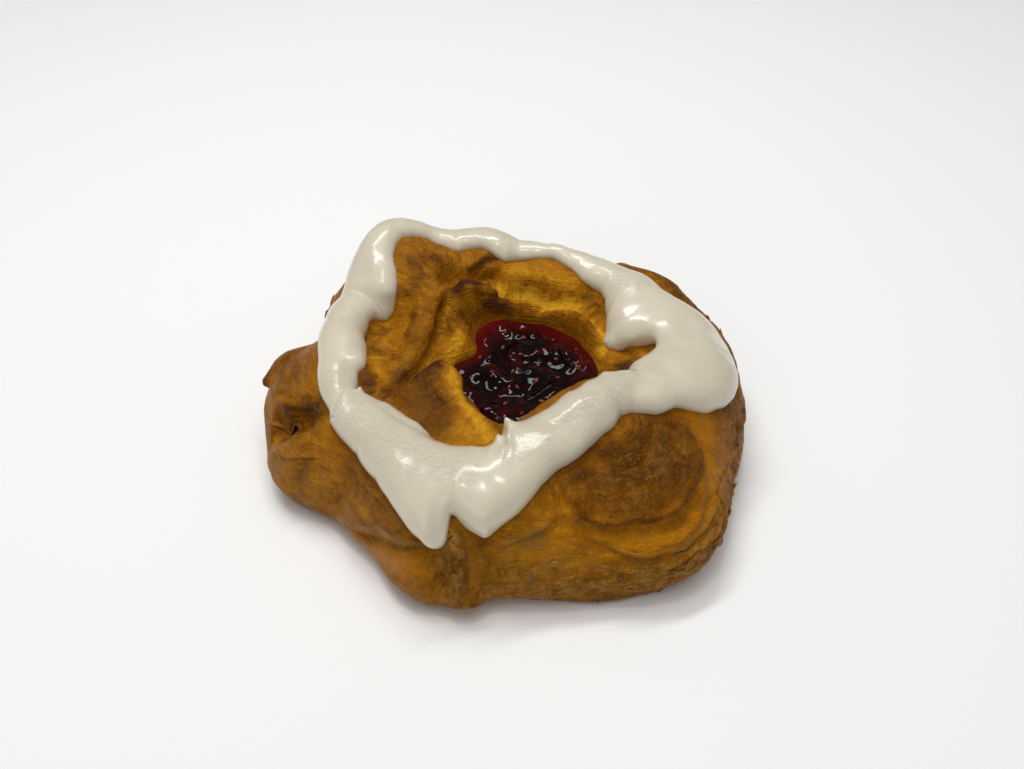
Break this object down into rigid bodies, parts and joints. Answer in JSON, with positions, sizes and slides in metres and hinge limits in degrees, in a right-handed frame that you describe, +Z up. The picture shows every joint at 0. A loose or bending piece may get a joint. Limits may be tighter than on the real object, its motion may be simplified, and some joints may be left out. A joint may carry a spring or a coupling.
{
  "type": "danish pastry",
  "caption": "Danish pastry: flaky laminated dough folded round a well of glossy red jam, with a thick closed ring of white icing on top.",
  "frame": {"origin": "middle of the bounding box, on the surface the pastry rests on", "axes": "+Z up, -Y towards the folded corner with the pinch and the two drips, +X to the right of that"},
  "size_m": [0.1138, 0.0998, 0.0378],
  "materials": {
    "crust": "baked laminated dough, golden brown with darker edges, satin",
    "icing": "set sugar icing, warm white, soft gloss",
    "jam": "dark red fruit jam, wet gloss"
  },
  "bodies": {
    "root": {"dough": "crust", "icing": "icing", "jam": "jam"}
  },
  "joints": []
}
